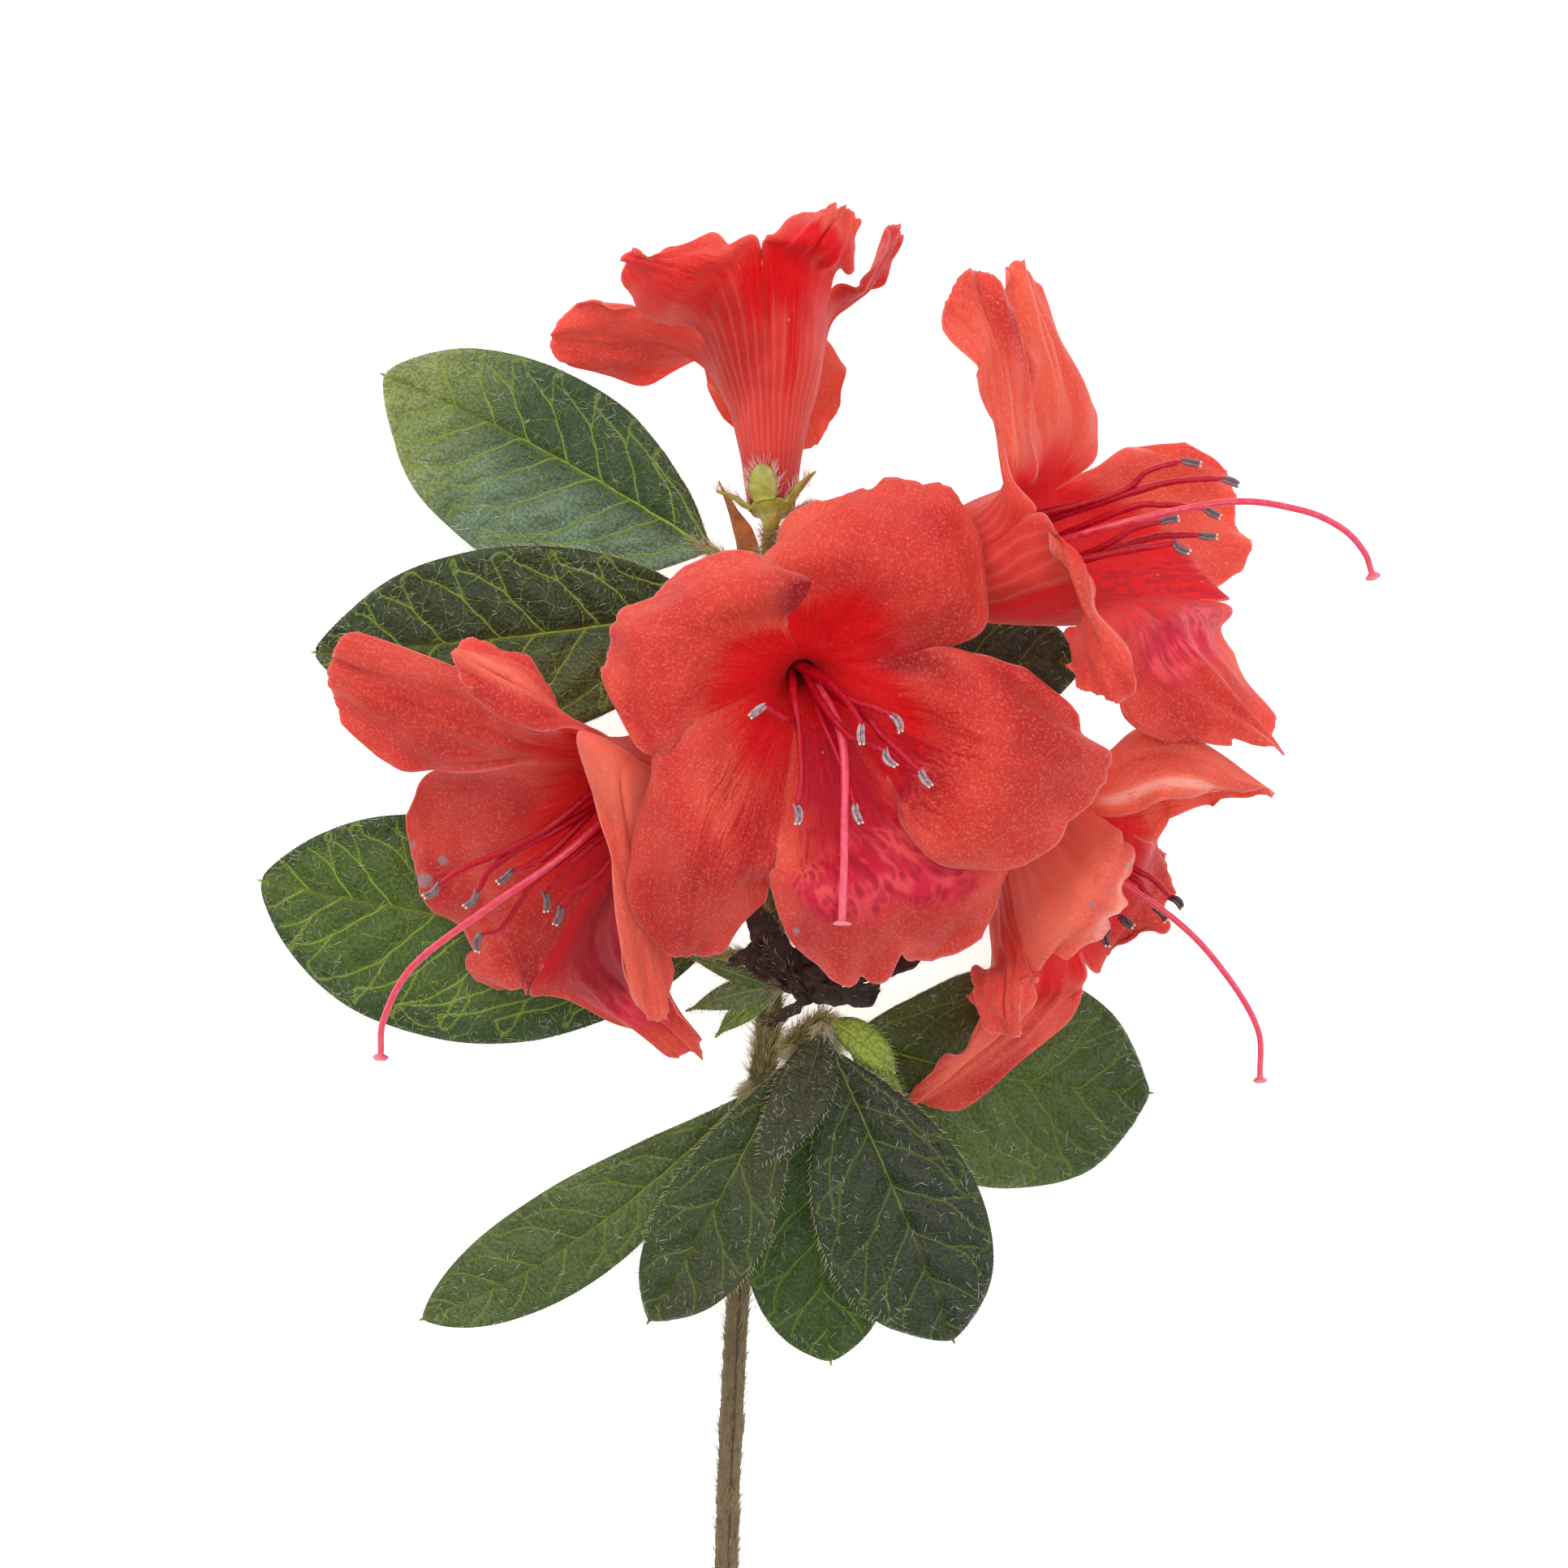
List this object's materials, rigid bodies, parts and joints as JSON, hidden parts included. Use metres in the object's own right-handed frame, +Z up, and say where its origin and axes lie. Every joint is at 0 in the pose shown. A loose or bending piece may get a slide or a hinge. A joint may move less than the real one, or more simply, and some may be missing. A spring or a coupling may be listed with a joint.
{
  "type": "cut flowering azalea sprig",
  "caption": "A cut azalea sprig lying flat: a hairy woody stem, oval dark green leaves and open coral red funnel-shaped blooms with long stamens.",
  "frame": {"origin": "centre of the bounding box in X and Y, on the surface the sprig lies on in Z", "axes": "+Y runs from the stem's cut end towards the blooms, +Z is up from the surface it lies on, +X is to the right seen from above"},
  "size_m": [0.1461, 0.1872, 0.0653],
  "materials": {
    "stem": "matt hairy bark",
    "petals": "soft satin petal",
    "filaments": "soft satin",
    "flower_stalks": "matt, hairy",
    "leaves": "satin, veined",
    "young_leaves": "satin",
    "withered": "dry and matt",
    "bud_scale": "dry and matt"
  },
  "bodies": {
    "root": {"main_stem": "stem", "side_shoot": "stem", "bloom_centre": "petals", "stamens_centre": "filaments", "stalk_centre": "flower_stalks", "bloom_top": "petals", "stamens_top": "filaments", "stalk_top": "flower_stalks", "bloom_right": "petals", "stamens_right": "filaments", "stalk_right": "flower_stalks", "bloom_left": "petals", "stamens_left": "filaments", "stalk_left": "flower_stalks", "bloom_low": "petals", "stamens_low": "filaments", "stalk_low": "flower_stalks", "leaf_upper_left": "leaves", "leaf_middle_left": "leaves", "leaf_lower_left": "leaves", "leaf_behind": "leaves", "leaf_lower_right": "leaves", "fan_leaf_outer": "leaves", "fan_leaf_front": "leaves", "fan_leaf_back": "leaves", "fan_leaf_right": "leaves", "fan_leaf_small": "leaves", "young_leaf_left": "young_leaves", "young_leaf_left_low": "young_leaves", "young_leaf_left_thin": "young_leaves", "young_leaf_right": "young_leaves", "young_leaf_right_low": "young_leaves", "withered_scales": "withered", "bud_scale": "bud_scale"}
  },
  "joints": []
}
